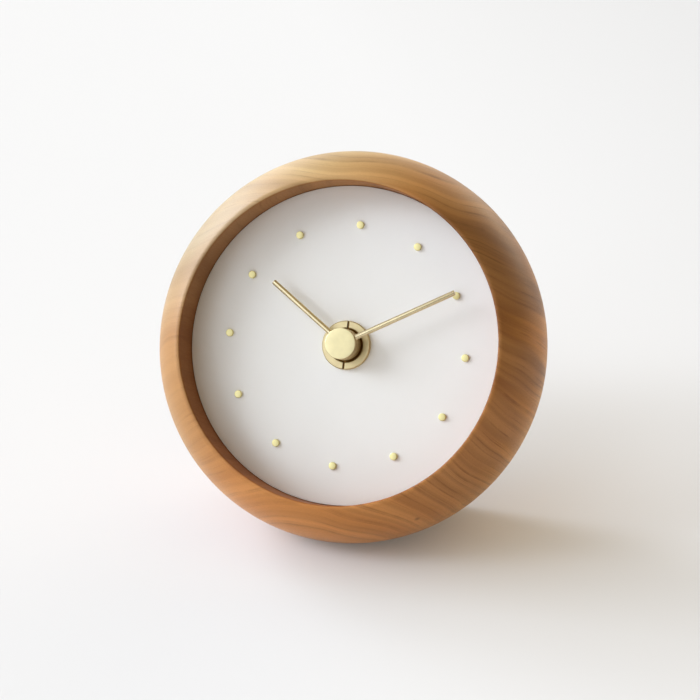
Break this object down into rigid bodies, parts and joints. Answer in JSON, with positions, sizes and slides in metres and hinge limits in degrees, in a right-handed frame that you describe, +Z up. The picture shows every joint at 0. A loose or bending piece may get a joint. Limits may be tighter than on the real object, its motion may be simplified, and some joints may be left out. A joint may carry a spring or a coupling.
{
  "type": "table clock",
  "caption": "Round turned wooden table clock that leans back on a flat underneath, with a white recessed dial, brass pin markers, brass rod hands and a battery movement.",
  "frame": {"origin": "middle of the flat underneath that the clock stands on", "axes": "+Z up, the dial faces -Y and upwards, +X to the right seen from the front"},
  "size_m": [0.11, 0.0891, 0.1025],
  "materials": {
    "turned_wood": "satin",
    "dial_white": "matte",
    "satin_brass": "satin",
    "arbor_brass": "satin",
    "black_plastic": "matte",
    "gear_plastic": "satin",
    "soft_rubber": "matte",
    "soft_iron": "satin",
    "magnet_grey": "satin",
    "copper_wire": "gloss",
    "board_green": "satin",
    "chip_black": "gloss",
    "crystal_steel": "satin",
    "cell_can": "satin"
  },
  "bodies": {
    "case": {"case_body": "turned_wood", "dial_plate": "dial_white", "hour_markers": "satin_brass", "threaded_bush": "satin_brass", "fixing_nut": "satin_brass", "rubber_washer": "soft_rubber", "movement_front_case": "black_plastic", "movement_rear_case": "black_plastic", "train_plate": "gear_plastic", "circuit_board": "board_green", "ic_chip": "chip_black", "quartz_crystal": "crystal_steel", "coil_core": "soft_iron", "coil_bobbin": "gear_plastic", "coil_winding": "copper_wire", "stator": "soft_iron", "positive_contact": "arbor_brass", "negative_contact": "arbor_brass", "battery_cell": "cell_can"},
    "minute_hand": {"minute_hand_rod": "satin_brass", "minute_hand_hub": "satin_brass", "minute_arbor": "arbor_brass", "clutch_washer": "arbor_brass"},
    "hour_hand": {"hour_hand_rod": "satin_brass", "hour_hand_hub": "satin_brass", "hour_wheel": "gear_plastic"},
    "minute_wheel_body": {"minute_wheel": "gear_plastic"},
    "setting_body": {"setting_shaft": "gear_plastic", "setting_knob": "black_plastic"},
    "seconds_wheel_body": {"seconds_wheel": "gear_plastic"},
    "fifth_wheel_body": {"fifth_wheel": "gear_plastic"},
    "rotor_body": {"rotor_pinion": "gear_plastic", "rotor_magnet": "magnet_grey"},
    "third_wheel_body": {"third_wheel": "gear_plastic"},
    "centre_wheel_body": {"centre_wheel": "gear_plastic"}
  },
  "joints": [
    {"name": "minute_hand_turn", "type": "hinge", "parent": "case", "child": "minute_hand", "pos_m": [0, -0.00732, 0.05774], "axis": [0, 0.8788, -0.4772], "continuous": true},
    {"name": "hour_hand_turn", "type": "hinge", "parent": "case", "child": "hour_hand", "pos_m": [0, -0.00468, 0.05631], "axis": [0, 0.8788, -0.4772], "continuous": true},
    {"name": "minute_wheel_turn", "type": "hinge", "parent": "case", "child": "minute_wheel_body", "pos_m": [-0.00945, 0.00472, 0.04931], "axis": [0, 0.8788, -0.4772], "continuous": true},
    {"name": "setting_knob_turn", "type": "hinge", "parent": "case", "child": "setting_body", "pos_m": [-0.0196, 0.01747, 0.04659], "axis": [0, 0.8788, -0.4772], "continuous": true},
    {"name": "seconds_wheel_turn", "type": "hinge", "parent": "case", "child": "seconds_wheel_body", "pos_m": [0, 0.01096, 0.04781], "axis": [0, 0.8788, -0.4772], "continuous": true},
    {"name": "fifth_wheel_turn", "type": "hinge", "parent": "case", "child": "fifth_wheel_body", "pos_m": [0.00643, 0.01512, 0.0517], "axis": [0, 0.8788, -0.4772], "continuous": true},
    {"name": "rotor_turn", "type": "hinge", "parent": "case", "child": "rotor_body", "pos_m": [0.01353, 0.01299, 0.05428], "axis": [0, 0.8788, -0.4772], "continuous": true},
    {"name": "third_wheel_turn", "type": "hinge", "parent": "case", "child": "third_wheel_body", "pos_m": [-0.00425, 0.01272, 0.05524], "axis": [0, 0.8788, -0.4772], "continuous": true},
    {"name": "centre_wheel_turn", "type": "hinge", "parent": "case", "child": "centre_wheel_body", "pos_m": [0, 0.00745, 0.04972], "axis": [0, 0.8788, -0.4772], "continuous": true}
  ],
  "couplings": [
    {"joint": "hour_hand_turn", "follows": "minute_hand_turn", "ratio": 0.083333},
    {"joint": "minute_wheel_turn", "follows": "minute_hand_turn", "ratio": -0.33333},
    {"joint": "setting_knob_turn", "follows": "minute_hand_turn", "ratio": 0.66667},
    {"joint": "fifth_wheel_turn", "follows": "seconds_wheel_turn", "ratio": -6},
    {"joint": "rotor_turn", "follows": "seconds_wheel_turn", "ratio": 30},
    {"joint": "third_wheel_turn", "follows": "seconds_wheel_turn", "ratio": -0.125},
    {"joint": "centre_wheel_turn", "follows": "seconds_wheel_turn", "ratio": 0.016667}
  ]
}
